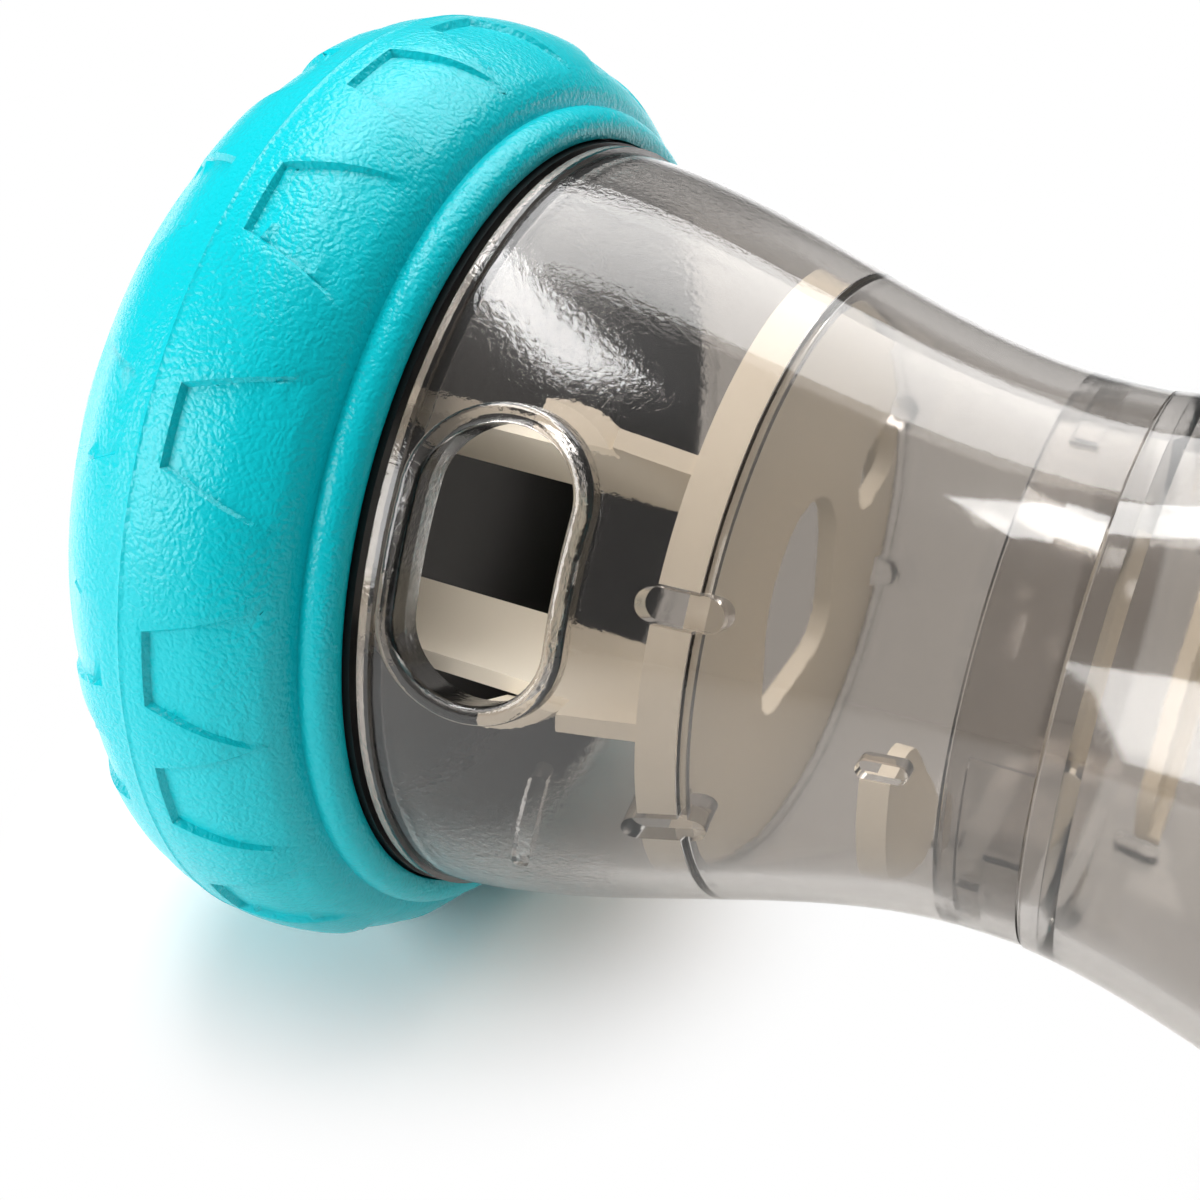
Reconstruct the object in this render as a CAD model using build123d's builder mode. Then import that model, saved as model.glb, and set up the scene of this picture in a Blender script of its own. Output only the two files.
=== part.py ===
"""Hourglass treat dispenser for dogs: two clear bells, a maze in each, and a rubber tyre on each end.

Millimetres. X runs along the toy, Z is up, and both tyres rest on Z = 0. The left half is drawn first
in run (distance from the waist plane) and radius (distance from the long axis), then turned half a
circle about Z for the right half. Only the two necks differ: the left one is the socket of the twist
lock and the right one is the spigot.
"""
import os
from math import asin, cos, degrees, radians, sin, tan
from build123d import *

# Fits shared by all pieces
fit_gap = 0.3
cut_overrun = 2.0

# Rubber tyre: outline shares are of the reach from the seam to the lip or to the end, and of the rise
# from the crease or from the end ring to the crown
tyre_diameter = 110.0
tyre_stand_out = 11.7
tyre_seam_from_mouth = 19.8
tyre_lip_gap = 0.7
tyre_bell_side_shares = ((0.961, 0.30), (0.787, 0.665), (0.516, 0.921), (0.126, 1.0))
tyre_outer_side_shares = ((0.143, 0.96), (0.295, 0.882), (0.443, 0.746), (0.589, 0.573), (0.825, 0.283), (0.965, 0.109))
tyre_rest_flat = 0.15
tyre_end_ring_width = 4.0
tyre_end_ring_height = 2.0
tyre_bead_height = 3.0
tyre_bead_width = 3.2
tyre_bead_bulge = 1.5

# Tread pockets: four places that repeat in each quarter turn, on both sides of the seam
pocket_angles = (8.7, 34.5, 60.1, 81.8)
pocket_quarters = 4
pocket_from_seam = 3.0
pocket_reach = 12.0
pocket_narrow_width = 8.4
pocket_wide_width = 16.2
pocket_depth = 1.1
pocket_depth_shares = ((0.0, 1.0), (0.35, 0.8), (0.7, 0.45), (1.0, -0.35))

# Clear bell: the wall flares from the waist to the cap by one cubic, set by the flare share
waist_diameter = 60.0
bell_length = 60.5
bell_wall = 3.0
flare_share = 2.75
flare_station_shares = (0.0, 0.15, 0.3, 0.45, 0.6, 0.75, 0.9, 1.0)
end_bead_width = 1.3
end_bead_height = 0.5
end_spigot_length = 11.5
end_spigot_step = 1.8

# Oval outlet, long way round the bell, with a raised rim
outlet_angle = 27.0
outlet_from_end = 11.4
outlet_length = 27.8
outlet_width = 14.6
outlet_rim_width = 2.0
outlet_rim_height = 1.9
outlet_rim_round = 0.7

# Keys and a stop rib inside the bell, and the step that the maze bulkhead is pushed against
bulkhead_key_angles = (26.8, -16.2, 206.8, 163.8)
bulkhead_key_length = 8.4
bulkhead_key_width = 3.4
bulkhead_key_height = 3.0
bulkhead_key_shift = 0.5
baffle_key_length = 5.2
baffle_key_width = 2.0
baffle_key_shift = 0.6
stop_rib_angle = -18.5
stop_rib_from_outlet = 3.5
stop_rib_tilt = -16.0
stop_rib_length = 17.0
stop_rib_width = 1.8
low_key_height = 1.6
seat_step_width = 1.0
seat_step_height = 0.9

# Maze bulkhead with its chute walls
bulkhead_from_outlet = 19.1
bulkhead_thickness = 2.2
bulkhead_rim_width = 4.0
bulkhead_rim_depth = 2.4
arch_width = 21.0
arch_drop = 13.0
arch_corner = 5.0
side_slot_angle = 171.0
side_slot_radius = 18.0
side_slot_width = 9.0
side_slot_length = 14.0
chute_side_margin = 1.1
chute_wall = 2.0
chute_crest_gap = 0.6
chute_depth = 18.0
chute_hook_margin = 0.3
chute_hook_depth = 5.0
chute_end_gap = 3.0

# Segment baffle near the waist
baffle_run = 9.6
baffle_thickness = 1.8
baffle_rim_width = 3.0
baffle_rim_depth = 2.0
baffle_angle = -38.0
baffle_spread = 42.0
baffle_chord_radius = 16.0
baffle_corner = 6.0

# Twist lock at the waist
lock_overlap = 8.4
lock_wall = 1.8
spigot_wall = 2.2
lug_count = 3
lug_spread = 18.0
lug_width = 2.2
lug_height = 0.8
lock_turn = 32.0
groove_play = 2.0

# End cap
cap_mouth_gap = 0.7
cap_collar_wall = 2.2
cap_floor = 2.6
cap_flange_from_mouth = 3.3
cap_flange_height = 2.5
cap_drum_wall = 2.8
cap_drum_depth = 7.4
seal_thickness = 2.0
seal_width = 2.0

# Hub cover and its screws
cover_wall = 2.5
cover_edge_height = 2.2
cover_lip_length = 3.0
cover_rise = 19.4
cover_shoulder_width = 4.4
cover_nose_diameter = 43.4
cover_nose_height = 3.6
screw_circle_diameter = 24.0
screw_count = 4
screw_diameter = 3.0
screw_length = 15.0
screw_head_diameter = 6.0
screw_head_height = 2.0
screw_slot_width = 1.0
screw_slot_length = 3.6
screw_slot_depth = 0.9
boss_diameter = 8.0
screw_play = 0.2

tyre_outer_radius = tyre_diameter / 2
axis_height = tyre_outer_radius - tyre_rest_flat
waist_radius = waist_diameter / 2
bell_end_radius = tyre_outer_radius - tyre_stand_out
end_spigot_radius = bell_end_radius - end_spigot_step
outlet_run = bell_length - outlet_from_end
bulkhead_run = outlet_run - bulkhead_from_outlet
cap_mouth_run = bell_length + cap_mouth_gap
cap_floor_run = bell_length + end_spigot_length + seal_thickness
cap_drum_end_run = cap_floor_run + cap_floor + cap_drum_depth
cap_collar_radius = end_spigot_radius + fit_gap + cap_collar_wall
cap_drum_radius = cap_collar_radius + cap_flange_height
cover_nose_run = cap_drum_end_run + cover_rise
cover_nose_radius = cover_nose_diameter / 2
cover_floor_run = cover_nose_run - cover_wall
tyre_seam_run = cap_mouth_run + tyre_seam_from_mouth
tyre_lip_run = cap_mouth_run + tyre_lip_gap
tyre_end_run = cover_nose_run + cover_nose_height + tyre_end_ring_height
tyre_bore_radius = cover_nose_radius + fit_gap
lock_half = lock_overlap / 2
socket_radius = waist_radius - lock_wall
spigot_radius = socket_radius - fit_gap

toy_axis = Axis((0, 0, axis_height), (1, 0, 0))


def outward(angle):
    """Unit vector away from the long axis; 0 faces the front (-Y) and 90 is straight up."""
    return (0, -cos(radians(angle)), sin(radians(angle)))


def half_plane(angle):
    """Plane through the long axis: local x is run, local y is radius."""
    away = outward(angle)
    return Plane(origin=(0, 0, axis_height), x_dir=(-1, 0, 0), z_dir=(0, away[2], -away[1]))


def facing_plane(angle, run, radius):
    """Plane seen from outside the toy: local x is run, local y goes round the toy."""
    away = outward(angle)
    origin = (-run, radius * away[1], axis_height + radius * away[2])
    return Plane(origin=origin, x_dir=(-1, 0, 0), z_dir=away)


def cross_plane(angle, run):
    """Plane across the toy: local x is the radius at that angle, local z is run."""
    return Plane(origin=(-run, 0, axis_height), x_dir=outward(angle), z_dir=(-1, 0, 0))


def bell_radius(run):
    """Outer radius of the bell's wall at a run from the waist."""
    share = run / bell_length
    rise = flare_share * share**2 + (1 - flare_share) * share**3
    return waist_radius + (bell_end_radius - waist_radius) * rise


def bore_radius(run):
    """Inner radius of the bell's wall."""
    return bell_radius(run) - bell_wall


def flare(shift):
    """Points along the bell's wall, moved away from its outer face by a distance."""
    return [(share * bell_length, bell_radius(share * bell_length) + shift) for share in flare_station_shares]


section = half_plane(90)

# Tyre outline from the crease beside the bead, over the crown, to the end ring
lip_radius = cap_collar_radius + fit_gap
crease_radius = lip_radius + tyre_bead_height
end_ring_radius = tyre_bore_radius + tyre_end_ring_width
crease_run = tyre_lip_run + tyre_bead_width
tyre_points = [(crease_run, crease_radius)]
for reach_share, rise_share in tyre_bell_side_shares:
    run = tyre_seam_run - (tyre_seam_run - crease_run) * reach_share
    tyre_points.append((run, crease_radius + (tyre_outer_radius - crease_radius) * rise_share))
for reach_share, rise_share in tyre_outer_side_shares:
    run = tyre_seam_run + (tyre_end_run - tyre_seam_run) * reach_share
    tyre_points.append((run, end_ring_radius + (tyre_outer_radius - end_ring_radius) * rise_share))
tyre_points.append((tyre_end_run, end_ring_radius))
tyre_outline = Spline(*tyre_points)


def tyre_radius(run):
    """Radius of the tyre's outline at a run, found by halving along the curve."""
    low, high = 0.0, 1.0
    for step in range(40):
        middle = (low + high) / 2
        if tyre_outline.position_at(middle).X < run:
            low = middle
        else:
            high = middle
    return tyre_outline.position_at(low).Y


# Tread pockets, as the solid that is taken out of the tyre
with BuildPart() as tread_cutter:
    for quarter in range(pocket_quarters):
        for place in pocket_angles:
            turn = place + 360 / pocket_quarters * quarter
            with BuildSketch(facing_plane(turn, tyre_seam_run, cap_drum_radius)):
                for side in (-1, 1):
                    with BuildLine():
                        Polyline(
                            (side * pocket_from_seam, -pocket_narrow_width / 2),
                            (side * (pocket_from_seam + pocket_reach), -pocket_wide_width / 2),
                            (side * (pocket_from_seam + pocket_reach), pocket_wide_width / 2),
                            (side * pocket_from_seam, pocket_narrow_width / 2),
                            close=True,
                        )
                    make_face()
            extrude(amount=tyre_outer_radius + cut_overrun - cap_drum_radius)
    with BuildSketch(section):
        for side in (-1, 1):
            floor = []
            for reach_share, depth_share in pocket_depth_shares:
                run = tyre_seam_run + side * (pocket_from_seam + pocket_reach * reach_share)
                floor.append((run, tyre_radius(run) - pocket_depth * depth_share))
            with BuildLine():
                Spline(*floor)
                Polyline(
                    floor[-1],
                    (floor[-1][0], tyre_outer_radius + cut_overrun),
                    (floor[0][0], tyre_outer_radius + cut_overrun),
                    floor[0],
                )
            make_face()
    revolve(axis=toy_axis, mode=Mode.INTERSECT)

# Rubber tyre: thick rubber over the cap's drum and the hub cover's cone
cover_edge_run = cap_drum_end_run + cover_edge_height
cover_cone = (cover_nose_run, cover_nose_radius + cover_shoulder_width)
with BuildPart() as left_rubber_tyre:
    with BuildSketch(section):
        with BuildLine():
            add(tyre_outline)
            Polyline(
                tyre_points[-1],
                (tyre_end_run, tyre_bore_radius),
                (cover_nose_run + fit_gap, tyre_bore_radius),
                (cover_nose_run + fit_gap, cover_cone[1] + fit_gap),
                (cover_edge_run + fit_gap, cap_drum_radius + fit_gap),
                (cap_mouth_run + cap_flange_from_mouth - fit_gap, cap_drum_radius + fit_gap),
                (cap_mouth_run + cap_flange_from_mouth - fit_gap, lip_radius),
                (tyre_lip_run, lip_radius),
            )
            SagittaArc((tyre_lip_run, lip_radius), tyre_points[0], tyre_bead_bulge)
        make_face()
    revolve(axis=toy_axis)
    add(tread_cutter.part, mode=Mode.SUBTRACT)
    # The rubber is pressed flat by the toy's weight where it stands on the floor
    with BuildSketch(Plane.XY):
        with Locations((-tyre_seam_run, 0)):
            Rectangle(tyre_diameter, tyre_diameter)
    extrude(amount=-tyre_diameter, mode=Mode.SUBTRACT)
left_rubber_tyre.part.label = "left_rubber_tyre"

# End cap: collar round the bell, floor, drum under the tyre and the screw bosses
screw_radius = screw_circle_diameter / 2
with BuildPart() as left_end_cap:
    with BuildSketch(section):
        with BuildLine():
            Polyline(
                (cap_floor_run, 0),
                (cap_floor_run, end_spigot_radius + fit_gap),
                (cap_mouth_run, end_spigot_radius + fit_gap),
                (cap_mouth_run, cap_collar_radius),
                (cap_mouth_run + cap_flange_from_mouth, cap_collar_radius),
                (cap_mouth_run + cap_flange_from_mouth, cap_drum_radius),
                (cap_drum_end_run, cap_drum_radius),
                (cap_drum_end_run, cap_drum_radius - cap_drum_wall),
                (cap_floor_run + cap_floor, cap_drum_radius - cap_drum_wall),
                (cap_floor_run + cap_floor, 0),
                close=True,
            )
        make_face()
    revolve(axis=toy_axis)
    with BuildSketch(cross_plane(45, cap_floor_run + cap_floor / 2)):
        with PolarLocations(screw_radius, screw_count):
            Circle(boss_diameter / 2)
    extrude(amount=cover_floor_run - cap_floor_run - cap_floor / 2)
    with BuildSketch(cross_plane(45, cap_floor_run + cap_floor)):
        with PolarLocations(screw_radius, screw_count):
            Circle(screw_diameter / 2 + screw_play)
    extrude(amount=cover_floor_run - cap_floor_run, mode=Mode.SUBTRACT)
left_end_cap.part.label = "left_end_cap"

# Hub cover: cone under the tyre's outer side, with a recessed nose for the screw heads
with BuildPart() as left_hub_cover:
    with BuildSketch(section):
        with BuildLine():
            Polyline(
                (cover_nose_run, 0),
                (cover_nose_run, cover_nose_radius - cover_wall),
                (cover_nose_run + cover_nose_height, cover_nose_radius - cover_wall),
                (cover_nose_run + cover_nose_height, cover_nose_radius),
                (cover_nose_run, cover_nose_radius),
                cover_cone,
                (cover_edge_run, cap_drum_radius),
                (cap_drum_end_run, cap_drum_radius),
                (cap_drum_end_run, cap_drum_radius - cap_drum_wall - fit_gap),
                (cap_drum_end_run - cover_lip_length, cap_drum_radius - cap_drum_wall - fit_gap),
                (cap_drum_end_run - cover_lip_length, cap_drum_radius - cap_drum_wall - fit_gap - cover_wall),
                (cap_drum_end_run, cap_drum_radius - cap_drum_wall - fit_gap - cover_wall),
                (cover_floor_run, cover_cone[1] - cover_wall),
                (cover_floor_run, 0),
                close=True,
            )
        make_face()
    revolve(axis=toy_axis)
    with BuildSketch(cross_plane(45, cover_floor_run)):
        with PolarLocations(screw_radius, screw_count):
            Circle(screw_diameter / 2 + screw_play)
    extrude(amount=cover_wall, mode=Mode.SUBTRACT)
left_hub_cover.part.label = "left_hub_cover"

# Four cross-slot screws, heads on the cover and shanks down the bosses
with BuildPart() as left_hub_screws:
    with BuildSketch(cross_plane(45, cover_nose_run)):
        with PolarLocations(screw_radius, screw_count):
            Circle(screw_head_diameter / 2)
    extrude(amount=screw_head_height)
    with BuildSketch(cross_plane(45, cover_nose_run)):
        with PolarLocations(screw_radius, screw_count):
            Circle(screw_diameter / 2)
    extrude(amount=-screw_length)
    with BuildSketch(cross_plane(45, cover_nose_run + screw_head_height)):
        with PolarLocations(screw_radius, screw_count):
            Rectangle(screw_slot_length, screw_slot_width)
            Rectangle(screw_slot_width, screw_slot_length)
    extrude(amount=-screw_slot_depth, mode=Mode.SUBTRACT)
left_hub_screws.part.label = "left_hub_screws"

# Seal ring between the bell's rim and the cap's floor
with BuildPart() as left_cap_seal:
    with BuildSketch(cross_plane(0, cap_floor_run - seal_thickness)):
        Circle(end_spigot_radius - fit_gap)
        Circle(end_spigot_radius - fit_gap - seal_width, mode=Mode.SUBTRACT)
    extrude(amount=seal_thickness)
left_cap_seal.part.label = "left_cap_seal"

# Raised rim of the oval outlet: a slot-shaped tube cut to follow the bell's wall
outlet_plane = facing_plane(outlet_angle, outlet_run, 0)
with BuildPart() as outlet_rim:
    with BuildSketch(outlet_plane):
        SlotOverall(outlet_length + 2 * outlet_rim_width, outlet_width + 2 * outlet_rim_width, rotation=90)
        SlotOverall(outlet_length, outlet_width, rotation=90, mode=Mode.SUBTRACT)
    extrude(amount=tyre_outer_radius)
    with BuildSketch(section):
        with BuildLine():
            top = Spline(*flare(outlet_rim_height))
            bottom = Spline(*flare(-bell_wall / 2))
            Line(top @ 0, bottom @ 0)
            Line(top @ 1, bottom @ 1)
        make_face()
    revolve(axis=toy_axis, mode=Mode.INTERSECT)
    rim_faces = outlet_rim.faces().sort_by(lambda face: -face.center().Z * sin(radians(outlet_angle))
                                           + face.center().Y * cos(radians(outlet_angle)))
    fillet(rim_faces[0].edges(), outlet_rim_round)

# Keys that stand on the inside of the wall and locate the two cream pieces
bulkhead_key_run = bulkhead_run + bulkhead_rim_width / 2 - bulkhead_key_shift
with BuildPart() as bulkhead_keys:
    for angle in bulkhead_key_angles:
        with BuildSketch(facing_plane(angle, bulkhead_key_run, waist_radius / 2)):
            SlotOverall(bulkhead_key_length, bulkhead_key_width)
        extrude(amount=bell_end_radius)
    with BuildSketch(section):
        with BuildLine():
            top = Spline(*flare(-bell_wall / 2))
            bottom = Spline(*flare(-bell_wall - bulkhead_key_height))
            Line(top @ 0, bottom @ 0)
            Line(top @ 1, bottom @ 1)
        make_face()
    revolve(axis=toy_axis, mode=Mode.INTERSECT)

# Lower keys for the baffle, and the stop rib that runs a little way round the wall under the outlet
baffle_key_run = baffle_run + baffle_rim_width / 2 - baffle_key_shift
baffle_key_angles = (baffle_angle + baffle_spread, baffle_angle - baffle_spread)
with BuildPart() as low_keys:
    for angle in baffle_key_angles:
        with BuildSketch(facing_plane(angle, baffle_key_run, waist_radius / 2)):
            SlotOverall(baffle_key_length, baffle_key_width)
        extrude(amount=bell_end_radius)
    with BuildSketch(facing_plane(stop_rib_angle, outlet_run - stop_rib_from_outlet, waist_radius / 2)):
        SlotOverall(stop_rib_length, stop_rib_width, rotation=90 + stop_rib_tilt)
    extrude(amount=bell_end_radius)
    with BuildSketch(section):
        with BuildLine():
            top = Spline(*flare(-bell_wall / 2))
            bottom = Spline(*flare(-bell_wall - low_key_height))
            Line(top @ 0, bottom @ 0)
            Line(top @ 1, bottom @ 1)
        make_face()
    revolve(axis=toy_axis, mode=Mode.INTERSECT)

# What both bells share: flared wall, end bead, spigot for the cap, seat step, keys and outlet
seat_run = bulkhead_run - seat_step_width
with BuildPart() as bell_shell:
    with BuildSketch(section):
        with BuildLine():
            outer = Spline(*flare(0))
            inner = Spline(*flare(-bell_wall))
            Line(outer @ 0, inner @ 0)
            Line(outer @ 1, inner @ 1)
        make_face()
        with BuildLine():
            Polyline(
                (bell_length - end_bead_width, bell_end_radius - bell_wall / 2),
                (bell_length - end_bead_width, bell_end_radius + end_bead_height),
                (bell_length, bell_end_radius + end_bead_height),
                (bell_length, end_spigot_radius),
                (bell_length + end_spigot_length, end_spigot_radius),
                (bell_length + end_spigot_length, end_spigot_radius - bell_wall),
                (bell_length - end_bead_width, bell_end_radius - bell_wall - fit_gap),
                close=True,
            )
        make_face()
        with BuildLine():
            Polyline(
                (seat_run, bore_radius(seat_run) + bell_wall / 2),
                (seat_run, bore_radius(seat_run) - seat_step_height),
                (bulkhead_run, bore_radius(seat_run) - seat_step_height),
                (bulkhead_run, bore_radius(bulkhead_run) + bell_wall / 2),
                close=True,
            )
        make_face()
    revolve(axis=toy_axis)
    add(bulkhead_keys.part)
    add(low_keys.part)
    add(outlet_rim.part)
    with BuildSketch(outlet_plane):
        SlotOverall(outlet_length, outlet_width, rotation=90)
    extrude(amount=tyre_outer_radius, mode=Mode.SUBTRACT)

# Left bell: its neck is the socket, with three hooked grooves for the lugs
groove_radius = spigot_radius + lug_height + fit_gap
groove_spread = lug_spread + 2 * groove_play
lug_run = lock_half - lug_width * 1.5
with BuildPart() as left_clear_bell:
    add(bell_shell.part)
    with BuildSketch(section):
        with BuildLine():
            Polyline(
                (0, bore_radius(0)),
                (0, waist_radius),
                (-lock_half, waist_radius),
                (-lock_half, bore_radius(0)),
                close=True,
            )
        make_face()
    revolve(axis=toy_axis)
    with BuildSketch(cross_plane(0, -lock_half)):
        Circle(socket_radius)
    extrude(amount=lock_overlap + fit_gap, mode=Mode.SUBTRACT)
    for lug in range(lug_count):
        start = 90 + 360 / lug_count * lug
        with BuildSketch(half_plane(start - groove_spread / 2)):
            with Locations((lug_run, groove_radius - lock_wall)):
                Rectangle(lug_width + 2 * fit_gap, 2 * lock_wall)
        revolve(axis=toy_axis, revolution_arc=-(groove_spread + lock_turn), mode=Mode.SUBTRACT)
        with BuildSketch(half_plane(start - groove_spread / 2 + lock_turn)):
            with Locations(((lug_run - lock_half) / 2, groove_radius - lock_wall)):
                Rectangle(lock_half + lug_run + lug_width, 2 * lock_wall)
        revolve(axis=toy_axis, revolution_arc=-groove_spread, mode=Mode.SUBTRACT)
left_clear_bell.part.label = "left_clear_bell"

# Right bell: its neck is the spigot, with the three lugs
with BuildPart() as right_clear_bell:
    add(bell_shell.part.rotate(Axis.Z, 180))
    with BuildSketch(cross_plane(0, lock_half)):
        Circle(bell_end_radius)
    extrude(amount=-lock_overlap - fit_gap, mode=Mode.SUBTRACT)
    with BuildSketch(section):
        with BuildLine():
            Polyline(
                (lock_half, spigot_radius),
                (lock_half, spigot_radius - spigot_wall),
                (-lock_half - spigot_wall, spigot_radius - spigot_wall),
                (-lock_half - 2 * spigot_wall, bore_radius(lock_half + 2 * spigot_wall) + fit_gap),
                (-lock_half - fit_gap, bell_radius(lock_half) - lock_wall / 2),
                (-lock_half - fit_gap, spigot_radius),
                close=True,
            )
        make_face()
    revolve(axis=toy_axis)
    for lug in range(lug_count):
        start = 90 + 360 / lug_count * lug
        with BuildSketch(half_plane(start - lug_spread / 2)):
            with Locations((lug_run, spigot_radius)):
                Rectangle(lug_width, 2 * lug_height)
        revolve(axis=toy_axis, revolution_arc=-lug_spread)
right_clear_bell.part.label = "right_clear_bell"

# Hooks of the chute: two bent walls that stand inside the bell round the two ends of the outlet
rim_end_run = bulkhead_run + bulkhead_rim_width
face_run = bulkhead_run + bulkhead_thickness
outlet_bore_radius = bore_radius(outlet_run)
chute_spread = degrees(asin((outlet_length / 2 + chute_side_margin) / outlet_bore_radius))
hook_edge = outlet_rim_width + chute_hook_margin
hook_outer_width = outlet_width + 2 * hook_edge
hook_root_radius = bore_radius(outlet_run - hook_outer_width / 2) - fit_gap - chute_hook_depth / 2
chute_half_width = hook_root_radius * sin(radians(chute_spread))
with BuildPart() as chute_hooks:
    with BuildSketch(outlet_plane):
        SlotOverall(outlet_length + 2 * hook_edge, hook_outer_width, rotation=90)
        SlotOverall(
            outlet_length + 2 * hook_edge - 2 * chute_wall,
            hook_outer_width - 2 * chute_wall,
            rotation=90,
            mode=Mode.SUBTRACT,
        )
        Rectangle(hook_outer_width, 2 * chute_half_width, mode=Mode.SUBTRACT)
        Rectangle(
            hook_outer_width,
            outlet_length + 2 * hook_edge,
            align=(Align.MIN, Align.CENTER),
            mode=Mode.SUBTRACT,
        )
    extrude(amount=tyre_outer_radius)
    with BuildSketch(section):
        with BuildLine():
            top = Spline(*flare(-bell_wall - fit_gap))
            bottom = Spline(*flare(-bell_wall - fit_gap - chute_hook_depth))
            Line(top @ 0, bottom @ 0)
            Line(top @ 1, bottom @ 1)
        make_face()
    revolve(axis=toy_axis, mode=Mode.INTERSECT)

# Maze bulkhead: disc and rim, arch, side slot, key notches, chute hooks and the two chute walls
chute_ledge_radius = outlet_bore_radius - fit_gap - chute_hook_depth
chute_floor_radius = outlet_bore_radius - chute_depth
chute_step_run = outlet_run - outlet_width / 2
chute_end_run = bell_length + end_spigot_length - chute_end_gap
with BuildPart() as left_maze_bulkhead:
    with BuildSketch(section):
        with BuildLine():
            Polyline(
                (bulkhead_run, 0),
                (bulkhead_run, bore_radius(bulkhead_run) - fit_gap),
                (rim_end_run, bore_radius(rim_end_run) - fit_gap),
                (rim_end_run, bore_radius(rim_end_run) - fit_gap - bulkhead_rim_depth),
                (face_run, bore_radius(face_run) - fit_gap - bulkhead_rim_depth),
                (face_run, 0),
                close=True,
            )
        make_face()
    revolve(axis=toy_axis)
    with BuildSketch(cross_plane(0, bulkhead_run)):
        arch = Rectangle(arch_drop, arch_width, align=(Align.MAX, Align.CENTER), rotation=90)
        fillet(arch.vertices().group_by(Axis.Y)[0], arch_corner)
        Circle(arch_width / 2)
    extrude(amount=bulkhead_thickness, mode=Mode.SUBTRACT)
    with BuildSketch(cross_plane(side_slot_angle, bulkhead_run)):
        with Locations((side_slot_radius + side_slot_length / 2, 0)):
            SlotOverall(side_slot_length, side_slot_width)
    extrude(amount=bulkhead_thickness, mode=Mode.SUBTRACT)
    for side in (-1, 1):
        with BuildSketch(half_plane(outlet_angle + side * chute_spread)):
            runs = [face_run + (chute_step_run - face_run) * share for share in flare_station_shares]
            with BuildLine():
                crest = Spline(*[(run, bore_radius(run) - chute_crest_gap) for run in runs])
                Polyline(
                    crest @ 0,
                    (face_run, chute_floor_radius),
                    (chute_end_run, chute_floor_radius),
                    (chute_end_run, chute_ledge_radius),
                    (chute_step_run, chute_ledge_radius),
                    crest @ 1,
                )
            make_face()
        extrude(amount=chute_wall / 2, both=True)
    add(chute_hooks.part)
    for angle in bulkhead_key_angles:
        key_foot = bore_radius(bulkhead_run) - bulkhead_key_height - 2 * fit_gap
        key_face = facing_plane(angle, bulkhead_key_run, key_foot)
        with BuildSketch(key_face):
            SlotOverall(bulkhead_key_length + 2 * fit_gap, bulkhead_key_width + 2 * fit_gap)
        extrude(amount=bell_end_radius, mode=Mode.SUBTRACT)
left_maze_bulkhead.part.label = "left_maze_bulkhead"

# Segment baffle: part of a rimmed disc, cut to a rounded tongue between its two keys
baffle_rim_end = baffle_run + baffle_rim_width
baffle_face = baffle_run + baffle_thickness
tongue_key_radius = bore_radius(baffle_run) - low_key_height
tongue_spread = baffle_spread - degrees(asin((baffle_key_width / 2 + fit_gap) / tongue_key_radius))
tongue_slope = tan(radians(tongue_spread))
with BuildPart() as left_segment_baffle:
    with BuildSketch(cross_plane(baffle_angle, baffle_run)) as tongue:
        with BuildLine():
            Polyline(
                (baffle_chord_radius, -baffle_chord_radius * tongue_slope),
                (waist_radius, -waist_radius * tongue_slope),
                (waist_radius, waist_radius * tongue_slope),
                (baffle_chord_radius, baffle_chord_radius * tongue_slope),
                close=True,
            )
        make_face()
        fillet(tongue.vertices().sort_by(Axis.X)[:2], baffle_corner)
    extrude(amount=baffle_rim_width)
    with BuildSketch(section):
        with BuildLine():
            Polyline(
                (baffle_run, 0),
                (baffle_run, bore_radius(baffle_run) - fit_gap),
                (baffle_rim_end, bore_radius(baffle_rim_end) - fit_gap),
                (baffle_rim_end, bore_radius(baffle_rim_end) - fit_gap - baffle_rim_depth),
                (baffle_face, bore_radius(baffle_face) - fit_gap - baffle_rim_depth),
                (baffle_face, 0),
                close=True,
            )
        make_face()
    revolve(axis=toy_axis, mode=Mode.INTERSECT)
left_segment_baffle.part.label = "left_segment_baffle"

# The right half's other pieces are the left ones turned half a circle about Z
with BuildPart() as right_rubber_tyre:
    add(left_rubber_tyre.part.rotate(Axis.Z, 180))
right_rubber_tyre.part.label = "right_rubber_tyre"
with BuildPart() as right_end_cap:
    add(left_end_cap.part.rotate(Axis.Z, 180))
right_end_cap.part.label = "right_end_cap"
with BuildPart() as right_hub_cover:
    add(left_hub_cover.part.rotate(Axis.Z, 180))
right_hub_cover.part.label = "right_hub_cover"
with BuildPart() as right_hub_screws:
    add(left_hub_screws.part.rotate(Axis.Z, 180))
right_hub_screws.part.label = "right_hub_screws"
with BuildPart() as right_cap_seal:
    add(left_cap_seal.part.rotate(Axis.Z, 180))
right_cap_seal.part.label = "right_cap_seal"
with BuildPart() as right_maze_bulkhead:
    add(left_maze_bulkhead.part.rotate(Axis.Z, 180))
right_maze_bulkhead.part.label = "right_maze_bulkhead"
with BuildPart() as right_segment_baffle:
    add(left_segment_baffle.part.rotate(Axis.Z, 180))
right_segment_baffle.part.label = "right_segment_baffle"

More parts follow.
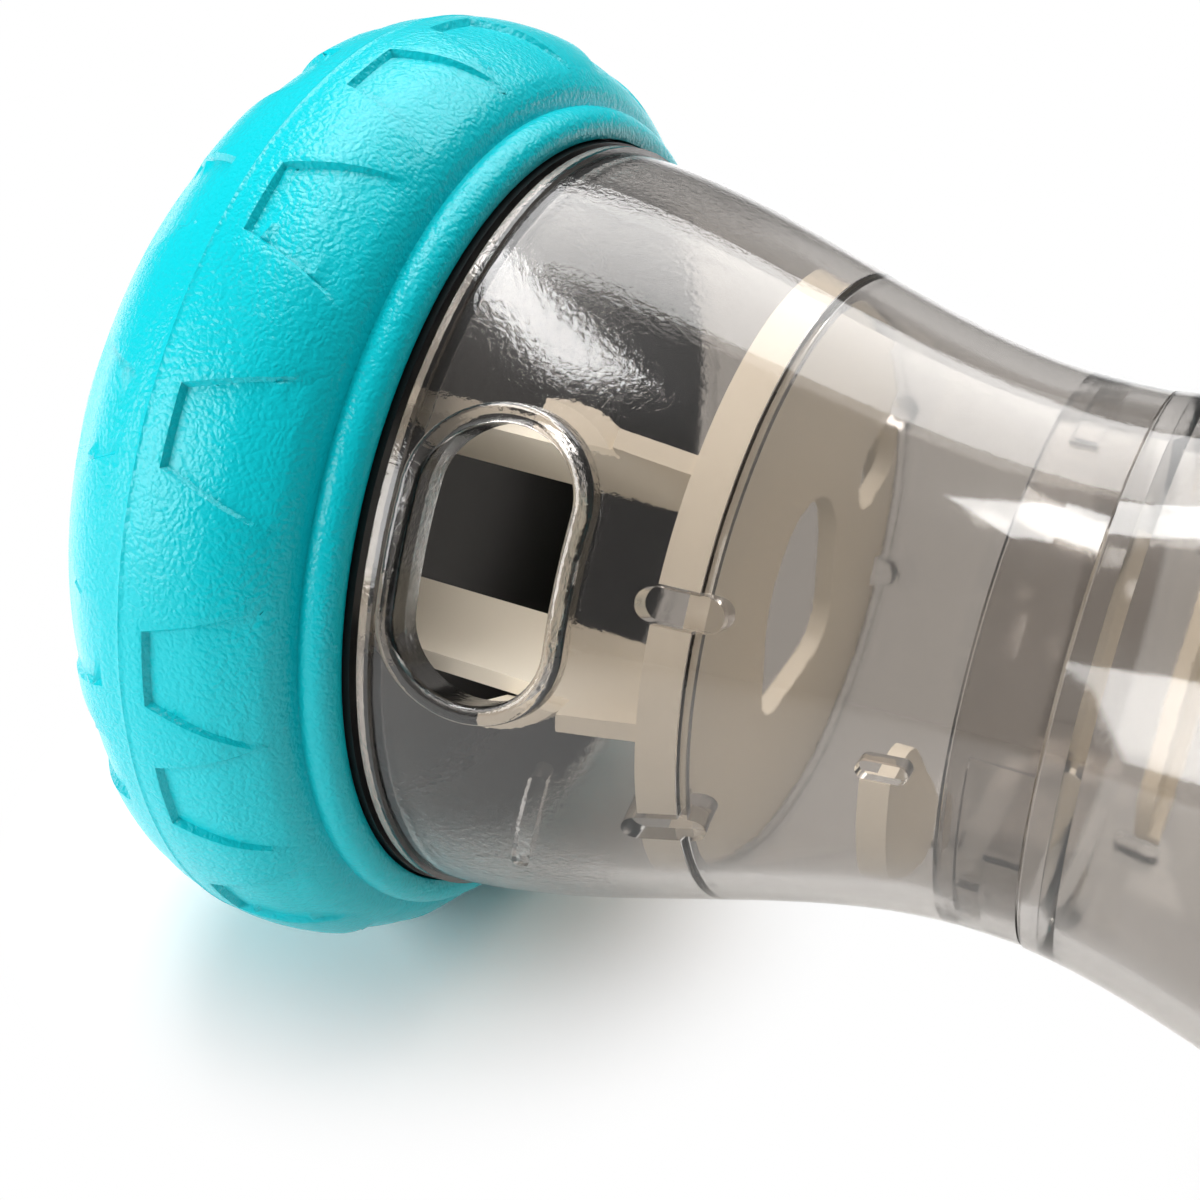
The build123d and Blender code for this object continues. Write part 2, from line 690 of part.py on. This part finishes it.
os.makedirs("parts", exist_ok=True)
export_step(left_rubber_tyre.part, "parts/left_rubber_tyre.step")
export_step(left_end_cap.part, "parts/left_end_cap.step")
export_step(left_hub_cover.part, "parts/left_hub_cover.step")
export_step(left_hub_screws.part, "parts/left_hub_screws.step")
export_step(left_cap_seal.part, "parts/left_cap_seal.step")
export_step(left_clear_bell.part, "parts/left_clear_bell.step")
export_step(left_maze_bulkhead.part, "parts/left_maze_bulkhead.step")
export_step(left_segment_baffle.part, "parts/left_segment_baffle.step")
export_step(right_rubber_tyre.part, "parts/right_rubber_tyre.step")
export_step(right_end_cap.part, "parts/right_end_cap.step")
export_step(right_hub_cover.part, "parts/right_hub_cover.step")
export_step(right_hub_screws.part, "parts/right_hub_screws.step")
export_step(right_cap_seal.part, "parts/right_cap_seal.step")
export_step(right_clear_bell.part, "parts/right_clear_bell.step")
export_step(right_maze_bulkhead.part, "parts/right_maze_bulkhead.step")
export_step(right_segment_baffle.part, "parts/right_segment_baffle.step")
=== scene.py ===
# %% [markdown]
# # A rolling treat dispenser
# This lesson dresses the solids of an hourglass dog toy: two smoke-tinted clear bells that meet at a
# waist, cream maze walls inside them, and a turquoise rubber tyre on a dark cap at each wide end.
# The solids come from the shared frame in metres. X runs along the toy, Z is up, and the tyres rest
# on the floor at Z = 0, so nothing has to be fitted by eye.

# %% Load the frame
import math

import bmesh
import bpy
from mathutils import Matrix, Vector


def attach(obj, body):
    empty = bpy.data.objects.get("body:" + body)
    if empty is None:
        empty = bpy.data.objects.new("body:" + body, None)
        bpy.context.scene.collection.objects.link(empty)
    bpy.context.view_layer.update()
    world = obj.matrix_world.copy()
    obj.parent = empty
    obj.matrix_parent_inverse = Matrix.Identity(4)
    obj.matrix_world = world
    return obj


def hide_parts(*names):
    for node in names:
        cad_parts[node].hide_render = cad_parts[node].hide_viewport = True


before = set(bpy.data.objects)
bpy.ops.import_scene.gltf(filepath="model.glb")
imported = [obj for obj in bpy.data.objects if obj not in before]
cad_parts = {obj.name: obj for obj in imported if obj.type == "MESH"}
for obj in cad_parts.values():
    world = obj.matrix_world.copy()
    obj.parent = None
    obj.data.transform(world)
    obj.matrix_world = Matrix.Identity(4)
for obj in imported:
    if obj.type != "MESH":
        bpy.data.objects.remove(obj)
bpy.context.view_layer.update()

# %% [markdown]
# ## Sizes that the pieces share
# Everything on this toy is round its long axis, so three numbers place a point: the run, which is the
# distance from the waist along the axis, the radius, and the turn, where 0 faces the front and 90 is
# straight up. The left half lies on the -X side. The seam round the tyre is 81 mm from the waist.

# %% Shared sizes
MM = 0.001
AXIS_HEIGHT = 54.85 * MM
SEAM = 81.0
SEAM_RUN = SEAM * MM


def outward(turn):
    """Unit vector away from the long axis at a turn in degrees."""
    return Vector((0, -math.cos(math.radians(turn)), math.sin(math.radians(turn))))


def around(turn):
    """Unit vector that goes round the toy, towards larger turns."""
    return Vector((0, math.sin(math.radians(turn)), math.cos(math.radians(turn))))


print("height of the long axis in mm:", AXIS_HEIGHT / MM)

# %% [markdown]
# ## The rubber tyre
# The tyre is thick moulded rubber with a rounded crown, a half-round bead against the bell with a
# crease beside it, a fine seam where the mould halves met, and shallow tread pockets in mirrored pairs.
# Its outline is drawn in run and radius, in millimetres. A smooth curve through a few points of the
# crown gives the radius at any run, so the rows of the mesh can be put where the pockets need them.

# %% Crown curve
CROWN = [(65.1, 47.3), (65.72, 49.61), (68.49, 52.42), (72.79, 54.39), (78.99, 55.0), (85.0, 53.84),
         (89.26, 51.58), (93.4, 47.63), (97.49, 42.62), (104.1, 34.21), (108.02, 29.16), (109.0, 26.0)]
CURVE_STEPS = 40


def smooth_curve(controls, steps):
    """Points along a Catmull-Rom curve through the controls."""
    points = [Vector(control) for control in controls]
    ends = [points[0] * 2 - points[1]] + points + [points[-1] * 2 - points[-2]]
    dense = []
    for before, start, stop, after in zip(ends, ends[1:], ends[2:], ends[3:]):
        for step in range(steps):
            t = step / steps
            dense.append(0.5 * (2 * start + (stop - before) * t
                                + (2 * before - 5 * start + 4 * stop - after) * t**2
                                + (3 * start - before - 3 * stop + after) * t**3))
    return dense + [points[-1]]


crown_curve = smooth_curve(CROWN, CURVE_STEPS)


def crown_radius(run):
    """Radius of the crown at a run, between the two nearest curve points."""
    run = max(run, crown_curve[0].x)
    for here, there in zip(crown_curve, crown_curve[1:]):
        if here.x <= run <= there.x:
            return here.y + (there.y - here.y) * (run - here.x) / max(there.x - here.x, 1e-9)
    return crown_curve[-1].y


print("crown radius at the seam:", round(crown_radius(SEAM), 2))

# %% [markdown]
# The rows are close together where the pockets lie, and one row runs exactly along their narrow edge,
# 3 mm from the seam. The seam itself is a ridge a tenth of a millimetre high between two near rows. The
# core is where the cap fills the tyre, and the bead is an arc that closes the outline.

# %% Tyre outline
POCKET_FROM_SEAM = 3.0
POCKET_END = 14.3
SEAM_RIDGE = 0.12
SEAM_FOOT = 0.2
ROW_STEP = 0.75
ROWS_EACH_SIDE = 18
BEAD_MIDDLE = (64.084, 45.177)
BEAD_RADIUS = 2.354
BEAD_FROM = 201.9
BEAD_TO = 64.4
BEAD_STEPS = 10
FLANK_ROWS = [65.1, 65.2, 65.35, 65.55, 65.85, 66.3, 66.75]
SHOULDER_ROWS = [95.3, 96.2, 97.1, 98.1, 99.2, 100.4, 101.6, 102.8,
                 103.9, 105.0, 106.0, 106.9, 107.6, 108.2, 108.6, 108.85]
CORE = [(109.0, 22.0), (103.7, 22.0), (103.7, 26.4), (86.5, 46.8), (64.2, 46.8), (64.2, 44.3)]

tread_rows = [SEAM + ROW_STEP * step for step in range(-ROWS_EACH_SIDE, ROWS_EACH_SIDE + 1) if step != 0]
rows = FLANK_ROWS + tread_rows + [SEAM - SEAM_FOOT, SEAM, SEAM + SEAM_FOOT] + SHOULDER_ROWS
outline = [(run, crown_radius(run) + (SEAM_RIDGE if run == SEAM else 0)) for run in sorted(rows)]
outline += CROWN[-1:] + CORE
for step in range(BEAD_STEPS):
    swing = math.radians(BEAD_FROM + (BEAD_TO - BEAD_FROM) * step / BEAD_STEPS)
    outline.append((BEAD_MIDDLE[0] + BEAD_RADIUS * math.cos(swing),
                    BEAD_MIDDLE[1] + BEAD_RADIUS * math.sin(swing)))
print("outline points:", len(outline))

# %% [markdown]
# A turned piece starts as one vertex. Extruding that vertex from point to point draws the outline, and
# Spin sweeps it round the axis. The tread repeats every quarter turn, so only a quarter is swept: from
# the plain rubber between two pockets to the same place one quarter on.

# %% Sweep a quarter of the tyre
QUARTER_START = 111.6
QUARTER_STEPS = 40
SAME_PLACE = 0.01 * MM


def draw_outline(name, points, turn):
    """Extrude one vertex along the outline in the half plane at a turn, and close it."""
    places = [Vector((-run * MM, 0, AXIS_HEIGHT)) + outward(turn) * radius * MM
              for run, radius in points]
    bpy.ops.object.select_all(action="DESELECT")
    bpy.ops.mesh.primitive_plane_add(size=MM, location=(0, 0, 0))
    piece = bpy.context.object
    piece.name = name
    piece.data.name = name
    bpy.ops.object.mode_set(mode="EDIT")
    bpy.ops.mesh.select_all(action="SELECT")
    bpy.ops.mesh.merge(type="CENTER")
    bpy.ops.transform.translate(value=places[0])
    for here, there in zip(places, places[1:] + places[:1]):
        bpy.ops.mesh.extrude_region_move(TRANSFORM_OT_translate={"value": there - here})
    bpy.ops.mesh.select_all(action="SELECT")
    bpy.ops.mesh.remove_doubles(threshold=SAME_PLACE)
    return piece


left_tyre = draw_outline("rubber_tyre_left", outline, QUARTER_START)
bpy.ops.mesh.spin(steps=QUARTER_STEPS, angle=-math.tau / 4, center=(0, 0, AXIS_HEIGHT), axis=(1, 0, 0))
bpy.ops.mesh.select_all(action="SELECT")
bpy.ops.mesh.normals_make_consistent(inside=False)
print("faces in the quarter:", len(bmesh.from_edit_mesh(left_tyre.data).faces))

# %% [markdown]
# ### Tread pockets
# Each pocket is a trapezoid, narrow beside the seam and wider outwards. Its two slanted sides cross the
# rows, so Bisect cuts each side into the faces near the pocket. Slivers that a cut leaves beside a row
# are merged away. The faces inside are then inset by the thickness of a steep wall.

# %% Cut the pocket sides
POCKET_TURNS = (98.7, 81.8, 60.1, 34.5)
POCKET_HALF_WIDTH = 4.2
POCKET_FLARE = 0.325
POCKET_WALL = 0.4
TREAD_REACH = 11
SKIN_RADIUS = 44
SLIVER = 0.15


def pocket_place(place, turn):
    """A place in mm as a pocket sees it: run from the seam, way round the toy, height off the axis."""
    away = place - Vector((0, 0, AXIS_HEIGHT))
    return (-place.x - SEAM_RUN) / MM, away.dot(around(turn)) / MM, away.dot(outward(turn)) / MM


def in_tread(place, turn, side, reach):
    """True on the outer skin beside a pocket, on one side of the seam."""
    run, across, height = pocket_place(place, turn)
    return POCKET_FROM_SEAM < run * side < POCKET_END and abs(across) < reach and height > SKIN_RADIUS


def in_pocket(place, turn, side):
    """True inside a pocket's trapezoid."""
    run = pocket_place(place, turn)[0]
    half_width = POCKET_HALF_WIDTH + (abs(run) - POCKET_FROM_SEAM) * POCKET_FLARE
    return in_tread(place, turn, side, half_width)


def pick_faces(piece, test):
    """In edit mode, select just the faces whose middle passes the test."""
    bpy.ops.mesh.select_all(action="DESELECT")
    mesh = bmesh.from_edit_mesh(piece.data)
    for face in mesh.faces:
        if test(face.calc_center_median()):
            face.select_set(True)
    bmesh.update_edit_mesh(piece.data)


pockets = [(turn, side) for turn in POCKET_TURNS for side in (-1, 1)]
bpy.ops.mesh.select_mode(type="FACE")
for turn, side in pockets:
    for hand in (-1, 1):
        corner = Vector((-SEAM_RUN - side * POCKET_FROM_SEAM * MM, 0, AXIS_HEIGHT))
        corner += around(turn) * hand * POCKET_HALF_WIDTH * MM
        slant = Vector((-side, 0, 0)) + around(turn) * hand * POCKET_FLARE
        pick_faces(left_tyre, lambda place: in_tread(place, turn, side, TREAD_REACH))
        bpy.ops.mesh.bisect(plane_co=corner, plane_no=outward(turn).cross(slant).normalized())
pick_faces(left_tyre, lambda place: any(in_tread(place, *pocket, TREAD_REACH) for pocket in pockets))
bpy.ops.mesh.remove_doubles(threshold=SLIVER * MM)
pick_faces(left_tyre, lambda place: any(in_pocket(place, *pocket) for pocket in pockets))
bpy.ops.mesh.inset(thickness=POCKET_WALL * MM, depth=0)
bpy.ops.object.mode_set(mode="OBJECT")
floor_points = [vertex.index for vertex in left_tyre.data.vertices if vertex.select]
print("vertices on pocket floors:", len(floor_points))

# %% [markdown]
# The pockets are deepest at the narrow edge and fade to nothing. A vertex weight that falls with the
# distance from the seam, and one Displace modifier, press them in. The weights aren't needed after
# that and are removed, so that they stay out of the export. Spin with duplicates then makes the
# other three quarters, the joins are merged, and a small bevel softens the sharp edges.
# The toy's weight presses the rubber flat where it stands, so Bisect cuts it off level with the floor.

# %% Press the pockets in and complete the ring
POCKET_DEPTH = 0.8
FADE = [(POCKET_FROM_SEAM, 1.0), (7.2, 0.85), (11.4, 0.6), (13.0, 0.35), (14.2, 0.0), (20.0, 0.0)]
EDGE_ROUNDING = 0.16
ROUNDED_EDGE = 32
SHARP_EDGE = 45
ON_FLOOR = 0.001
FLAT_POINTS = 0.006


def pocket_depth(from_seam):
    """Share of the full depth at a distance from the seam in mm."""
    for (near, deep), (far, shallow) in zip(FADE, FADE[1:]):
        if from_seam <= far:
            return deep + (shallow - deep) * max(from_seam - near, 0) / (far - near)
    return 0


tread = left_tyre.vertex_groups.new(name="tread")
for index in floor_points:
    from_seam = abs(-left_tyre.data.vertices[index].co.x - SEAM_RUN) / MM
    tread.add([index], pocket_depth(from_seam), "REPLACE")
press = left_tyre.modifiers.new("press_tread", "DISPLACE")
press.direction = "NORMAL"
press.mid_level = 0
press.strength = -POCKET_DEPTH * MM
press.vertex_group = "tread"
bpy.ops.object.modifier_apply(modifier=press.name)
left_tyre.vertex_groups.clear()

bpy.ops.object.mode_set(mode="EDIT")
bpy.ops.mesh.select_all(action="SELECT")
bpy.ops.mesh.spin(steps=3, dupli=True, angle=math.tau * 0.75, center=(0, 0, AXIS_HEIGHT), axis=(1, 0, 0))
bpy.ops.mesh.select_all(action="SELECT")
bpy.ops.mesh.remove_doubles(threshold=SAME_PLACE)
bpy.ops.mesh.normals_make_consistent(inside=False)
bpy.ops.object.mode_set(mode="OBJECT")

rounding = left_tyre.modifiers.new("mould_rounding", "BEVEL")
rounding.width = EDGE_ROUNDING * MM
rounding.segments = 2
rounding.limit_method = "ANGLE"
rounding.angle_limit = math.radians(ROUNDED_EDGE)
bpy.ops.object.modifier_apply(modifier=rounding.name)

bpy.ops.object.mode_set(mode="EDIT")
bpy.ops.mesh.select_all(action="SELECT")
bpy.ops.mesh.bisect(plane_co=(0, 0, 0), plane_no=(0, 0, 1), use_fill=True, clear_inner=True,
                    threshold=ON_FLOOR * MM)
bpy.ops.mesh.remove_doubles(threshold=FLAT_POINTS * MM)
bpy.ops.mesh.select_all(action="SELECT")
bpy.ops.mesh.normals_make_consistent(inside=False)
bpy.ops.object.mode_set(mode="OBJECT")
bpy.ops.object.shade_smooth_by_angle(angle=math.radians(SHARP_EDGE))
print("tyre faces:", len(left_tyre.data.polygons))

# %% [markdown]
# The right tyre is a copy with its own mesh, turned half a circle about Z and applied, so that its
# object sits unturned at the origin as the left one does.

# %% Copy for the right half
bpy.ops.object.select_all(action="DESELECT")
left_tyre.select_set(True)
bpy.context.view_layer.objects.active = left_tyre
bpy.ops.object.duplicate(linked=False)
right_tyre = bpy.context.object
right_tyre.name = "rubber_tyre_right"
right_tyre.data.name = "rubber_tyre_right"
right_tyre.rotation_euler = (0, 0, math.pi)
bpy.ops.object.transform_apply(location=True, rotation=True, scale=True)
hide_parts("left_rubber_tyre")
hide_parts("right_rubber_tyre")
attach(left_tyre, "left_half")
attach(right_tyre, "right_half")
print("tyres:", left_tyre.name, right_tyre.name)

# %% [markdown]
# ## Finishes
# Every finish here has a little unevenness from its mould. A shader node group holds that grain once:
# two sizes of noise on Object coordinates, mixed into one height. Each material sets its own scales.

# %% Grain shared by the moulded finishes
def link(tree, source, socket, target, name):
    """Join an output to an input by their names."""
    tree.links.new(source.outputs[socket], target.inputs[name])


grain = bpy.data.node_groups.new("mould_grain", "ShaderNodeTree")
grain.interface.new_socket("Coarse Scale", in_out="INPUT", socket_type="NodeSocketFloat")
grain.interface.new_socket("Fine Scale", in_out="INPUT", socket_type="NodeSocketFloat")
grain.interface.new_socket("Fine Share", in_out="INPUT", socket_type="NodeSocketFloat")
grain.interface.new_socket("Height", in_out="OUTPUT", socket_type="NodeSocketFloat")
entry = grain.nodes.new("NodeGroupInput")
leave = grain.nodes.new("NodeGroupOutput")
where = grain.nodes.new("ShaderNodeTexCoord")
coarse = grain.nodes.new("ShaderNodeTexNoise")
fine = grain.nodes.new("ShaderNodeTexNoise")
blend = grain.nodes.new("ShaderNodeMix")
coarse.inputs["Detail"].default_value = 2
fine.inputs["Detail"].default_value = 3
link(grain, where, "Object", coarse, "Vector")
link(grain, where, "Object", fine, "Vector")
link(grain, entry, "Coarse Scale", coarse, "Scale")
link(grain, entry, "Fine Scale", fine, "Scale")
link(grain, entry, "Fine Share", blend, "Factor")
link(grain, coarse, "Fac", blend, "A")
link(grain, fine, "Fac", blend, "B")
link(grain, blend, "Result", leave, "Height")
print("group:", grain.name)

# %% [markdown]
# A small helper starts each material: a Principled shader with its plain values set on its own
# sockets, and the grain group feeding a Bump node into Normal.

# %% Helper for a moulded material
GRAIN_HEIGHT = 0.2


def moulded_material(name, colour, roughness, coarse_scale, fine_scale, fine_share, bump):
    """A Principled material with grain in its normals."""
    material = bpy.data.materials.new(name)
    material.use_nodes = True
    tree = material.node_tree
    shader = tree.nodes["Principled BSDF"]
    shader.inputs["Base Color"].default_value = (*colour, 1)
    shader.inputs["Roughness"].default_value = roughness
    texture = tree.nodes.new("ShaderNodeGroup")
    texture.node_tree = grain
    texture.inputs["Coarse Scale"].default_value = coarse_scale
    texture.inputs["Fine Scale"].default_value = fine_scale
    texture.inputs["Fine Share"].default_value = fine_share
    relief = tree.nodes.new("ShaderNodeBump")
    relief.inputs["Strength"].default_value = bump
    relief.inputs["Distance"].default_value = GRAIN_HEIGHT * MM
    link(tree, texture, "Height", relief, "Height")
    link(tree, relief, "Normal", shader, "Normal")
    return material, tree, shader, texture, relief


print("material helper ready")

# %% [markdown]
# ### Turquoise rubber
# Satin rubber with a leathery skin. Small Voronoi cells, pulled out of line by noise, make the
# wrinkles, and the shared grain makes their tops uneven.

# %% Rubber
CELL_PULL = 1.3 * MM
rubber, tree, shader, texture, relief = moulded_material(
    "turquoise_rubber_skin", colour=(0.001, 0.48, 0.545), roughness=0.27,
    coarse_scale=900, fine_scale=3600, fine_share=0.5, bump=0.42)
shader.inputs["Specular IOR Level"].default_value = 0.24
spot = tree.nodes.new("ShaderNodeTexCoord")
pull = tree.nodes.new("ShaderNodeTexNoise")
pull.inputs["Scale"].default_value = 600
moved = tree.nodes.new("ShaderNodeVectorMath")
moved.operation = "MULTIPLY_ADD"
moved.inputs[1].default_value = (CELL_PULL, CELL_PULL, CELL_PULL)
cells = tree.nodes.new("ShaderNodeTexVoronoi")
cells.feature = "SMOOTH_F1"
cells.inputs["Scale"].default_value = 1700
cells.inputs["Smoothness"].default_value = 0.35
skin = tree.nodes.new("ShaderNodeMath")
skin.operation = "MULTIPLY_ADD"
skin.inputs[1].default_value = -1.1
link(tree, spot, "Object", pull, "Vector")
link(tree, pull, "Color", moved, "Vector")
tree.links.new(spot.outputs["Object"], moved.inputs[2])
link(tree, moved, "Vector", cells, "Vector")
tree.links.new(cells.outputs["Distance"], skin.inputs[0])
tree.links.new(texture.outputs["Height"], skin.inputs[2])
link(tree, skin, "Value", relief, "Height")
print("material:", rubber.name)

# %% [markdown]
# ### Smoke-tinted clear plastic
# Polished plastic with a faint grey-brown tint. Towards the wide end its skin turns grainy, so the
# softboxes break up there into sparkle. Light has to reach the maze inside, so for shadow rays the
# shader is swapped for a plain tinted transparency.

# %% Clear plastic
smoke, tree, shader, texture, relief = moulded_material(
    "smoke_clear_wall", colour=(0.55, 0.52, 0.49), roughness=0.06,
    coarse_scale=150, fine_scale=1500, fine_share=0.75, bump=0.3)
shader.inputs["Transmission Weight"].default_value = 1
shader.inputs["IOR"].default_value = 1.49
shader.inputs["Coat Weight"].default_value = 0.2
shader.inputs["Coat Roughness"].default_value = 0.34
spot = tree.nodes.new("ShaderNodeTexCoord")
halves = tree.nodes.new("ShaderNodeVectorMath")
halves.operation = "ABSOLUTE"
parts = tree.nodes.new("ShaderNodeSeparateXYZ")
wide_end = tree.nodes.new("ShaderNodeMapRange")
wide_end.interpolation_type = "SMOOTHSTEP"
wide_end.inputs["From Min"].default_value = 33 * MM
wide_end.inputs["From Max"].default_value = 46 * MM
wide_end.inputs["To Min"].default_value = 0.08
skin = tree.nodes.new("ShaderNodeMath")
skin.operation = "MULTIPLY"
link(tree, spot, "Object", halves, "Vector")
link(tree, halves, "Vector", parts, "Vector")
link(tree, parts, "X", wide_end, "Value")
tree.links.new(wide_end.outputs["Result"], skin.inputs[0])
tree.links.new(texture.outputs["Height"], skin.inputs[1])
link(tree, skin, "Value", relief, "Height")
passing = tree.nodes.new("ShaderNodeBsdfTransparent")
passing.inputs["Color"].default_value = (0.72, 0.7, 0.68, 1)
rays = tree.nodes.new("ShaderNodeLightPath")
swap = tree.nodes.new("ShaderNodeMixShader")
link(tree, rays, "Is Shadow Ray", swap, "Fac")
tree.links.new(shader.outputs["BSDF"], swap.inputs[1])
tree.links.new(passing.outputs["BSDF"], swap.inputs[2])
link(tree, swap, "Shader", tree.nodes["Material Output"], "Surface")
print("material:", smoke.name)

# %% [markdown]
# ### The other finishes
# Cream maze walls, gloss black caps, matt seal rings and plain steel screws differ only in colour,
# gloss and the size of their grain.

# %% Other finishes
cream, tree, shader, texture, relief = moulded_material(
    "cream_moulding", colour=(0.86, 0.80, 0.69), roughness=0.38,
    coarse_scale=90, fine_scale=700, fine_share=0.4, bump=0.06)
black, tree, shader, texture, relief = moulded_material(
    "black_moulding", colour=(0.008, 0.008, 0.008), roughness=0.32,
    coarse_scale=150, fine_scale=900, fine_share=0.4, bump=0.05)
shader.inputs["Specular IOR Level"].default_value = 0.3
seal, tree, shader, texture, relief = moulded_material(
    "seal_rubber", colour=(0.02, 0.02, 0.02), roughness=0.6,
    coarse_scale=300, fine_scale=1500, fine_share=0.5, bump=0.2)
steel, tree, shader, texture, relief = moulded_material(
    "screw_steel_turned", colour=(0.6, 0.6, 0.6), roughness=0.3,
    coarse_scale=300, fine_scale=2500, fine_share=0.6, bump=0.1)
shader.inputs["Metallic"].default_value = 1
print("materials:", [m.name for m in (cream, black, seal, steel)])

# %% [markdown]
# ### Dress the pieces
# Each kind of piece has one finish, the same on both halves. The solids keep their own meshes and get
# only their material here.

# %% Dress the pieces
FINISH = {
    "clear_bell": smoke,
    "maze_bulkhead": cream,
    "segment_baffle": cream,
    "end_cap": black,
    "hub_cover": black,
    "cap_seal": seal,
    "hub_screws": steel,
}
for piece in (left_tyre, right_tyre):
    piece.data.materials.clear()
    piece.data.materials.append(rubber)
for side in ("left", "right"):
    for kind, material in FINISH.items():
        node = bpy.data.objects[f"{side}_{kind}"]
        node.data.materials.clear()
        node.data.materials.append(material)
print("dressed")

# %% [markdown]
# ## Studio
# White paper runs out of the picture on all sides. Near the toy it is a plain lit surface that takes
# the shadow. Further out, and only where the camera looks at it, it fades to even white.

# %% Floor
bpy.ops.object.select_all(action="DESELECT")
bpy.ops.mesh.primitive_plane_add(size=6, location=(0, 0, 0))
floor = bpy.context.object
floor.name = "studio_floor"
paper = bpy.data.materials.new("studio_paper")
paper.use_nodes = True
tree = paper.node_tree
shader = tree.nodes["Principled BSDF"]
shader.inputs["Base Color"].default_value = (0.92, 0.92, 0.92, 1)
shader.inputs["Roughness"].default_value = 0.8
shader.inputs["Specular IOR Level"].default_value = 0.1
spot = tree.nodes.new("ShaderNodeTexCoord")
halves = tree.nodes.new("ShaderNodeVectorMath")
halves.operation = "ABSOLUTE"
distance = tree.nodes.new("ShaderNodeVectorMath")
distance.operation = "DISTANCE"
distance.inputs[1].default_value = (SEAM_RUN, 0, 0)
fade = tree.nodes.new("ShaderNodeMapRange")
fade.interpolation_type = "SMOOTHSTEP"
fade.inputs["From Min"].default_value = 0.025
fade.inputs["From Max"].default_value = 0.06
rays = tree.nodes.new("ShaderNodeLightPath")
direct = tree.nodes.new("ShaderNodeMath")
direct.operation = "MAXIMUM"
seen = tree.nodes.new("ShaderNodeMath")
seen.operation = "MULTIPLY"
white = tree.nodes.new("ShaderNodeEmission")
white.inputs["Color"].default_value = (1, 1, 1, 1)
swap = tree.nodes.new("ShaderNodeMixShader")
link(tree, spot, "Object", halves, "Vector")
link(tree, halves, "Vector", distance, "Vector")
link(tree, distance, "Value", fade, "Value")
tree.links.new(fade.outputs["Result"], seen.inputs[0])
tree.links.new(rays.outputs["Is Camera Ray"], direct.inputs[0])
tree.links.new(rays.outputs["Is Transmission Ray"], direct.inputs[1])
tree.links.new(direct.outputs["Value"], seen.inputs[1])
link(tree, seen, "Value", swap, "Fac")
tree.links.new(shader.outputs["BSDF"], swap.inputs[1])
tree.links.new(white.outputs["Emission"], swap.inputs[2])
link(tree, swap, "Shader", tree.nodes["Material Output"], "Surface")
floor.data.materials.append(paper)
print("floor:", floor.name)

# %% [markdown]
# A large softbox hangs behind the toy and another stands at the front left. A narrow strip hangs over
# the left end, turned so that its streak runs across the wide end of the bell. The surround is dim for
# lighting and white where the camera sees it.

# %% Lights
def soft_light(name, place, target, width, height, power):
    """A rectangular area lamp that faces a point."""
    data = bpy.data.lights.new(name, "AREA")
    data.shape = "RECTANGLE"
    data.size = width
    data.size_y = height
    data.energy = power
    lamp = bpy.data.objects.new(name, data)
    lamp.location = place
    lamp.rotation_euler = (Vector(target) - Vector(place)).to_track_quat("-Z", "Y").to_euler()
    bpy.context.collection.objects.link(lamp)
    return lamp


STRIP_TURN = -42
soft_light("back_softbox", place=(-0.06, 0.5, 0.78), target=(0, 0, 0.05),
           width=0.95, height=0.6, power=9.0)
strip_light = soft_light("overhead_strip", place=(-0.22, 0.05, 0.8), target=(-0.22, 0.05, 0),
                         width=0.6, height=0.15, power=3.6)
strip_light.rotation_euler = (0, 0, math.radians(STRIP_TURN))
soft_light("front_left_softbox", place=(-0.6, -0.65, 0.36), target=(-0.03, 0, 0.05),
           width=0.6, height=0.5, power=8.0)
world = bpy.data.worlds.new("white_surround")
world.use_nodes = True
tree = world.node_tree
lit = tree.nodes["Background"]
lit.inputs["Color"].default_value = (1, 1, 1, 1)
lit.inputs["Strength"].default_value = 0.14
plain = tree.nodes.new("ShaderNodeBackground")
plain.inputs["Color"].default_value = (1, 1, 1, 1)
plain.inputs["Strength"].default_value = 1
rays = tree.nodes.new("ShaderNodeLightPath")
direct = tree.nodes.new("ShaderNodeMath")
direct.operation = "MAXIMUM"
swap = tree.nodes.new("ShaderNodeMixShader")
tree.links.new(rays.outputs["Is Camera Ray"], direct.inputs[0])
tree.links.new(rays.outputs["Is Transmission Ray"], direct.inputs[1])
link(tree, direct, "Value", swap, "Fac")
tree.links.new(lit.outputs["Background"], swap.inputs[1])
tree.links.new(plain.outputs["Background"], swap.inputs[2])
link(tree, swap, "Shader", tree.nodes["World Output"], "Surface")
bpy.context.scene.world = world
print("lights ready")

# %% [markdown]
# ## Camera
# The photograph looks down on the left half from close by, so what is near looks large, and the right
# half runs out of the picture.

# %% Camera
CAMERA_PLACE = (0.02984, -0.16713, 0.1737)
LOOK_DOWN = 34.376
LOOK_LEFT = 27.042
LENS = 57.0
camera_data = bpy.data.cameras.new("camera")
camera_data.sensor_width = 36
camera_data.lens = LENS
camera_data.clip_start = 0.01
camera = bpy.data.objects.new("camera", camera_data)
camera.location = CAMERA_PLACE
camera.rotation_euler = (math.radians(90 - LOOK_DOWN), 0, math.radians(LOOK_LEFT))
bpy.context.collection.objects.link(camera)
bpy.context.scene.camera = camera
bpy.context.scene.view_settings.view_transform = "Standard"
print("camera lens:", camera_data.lens)
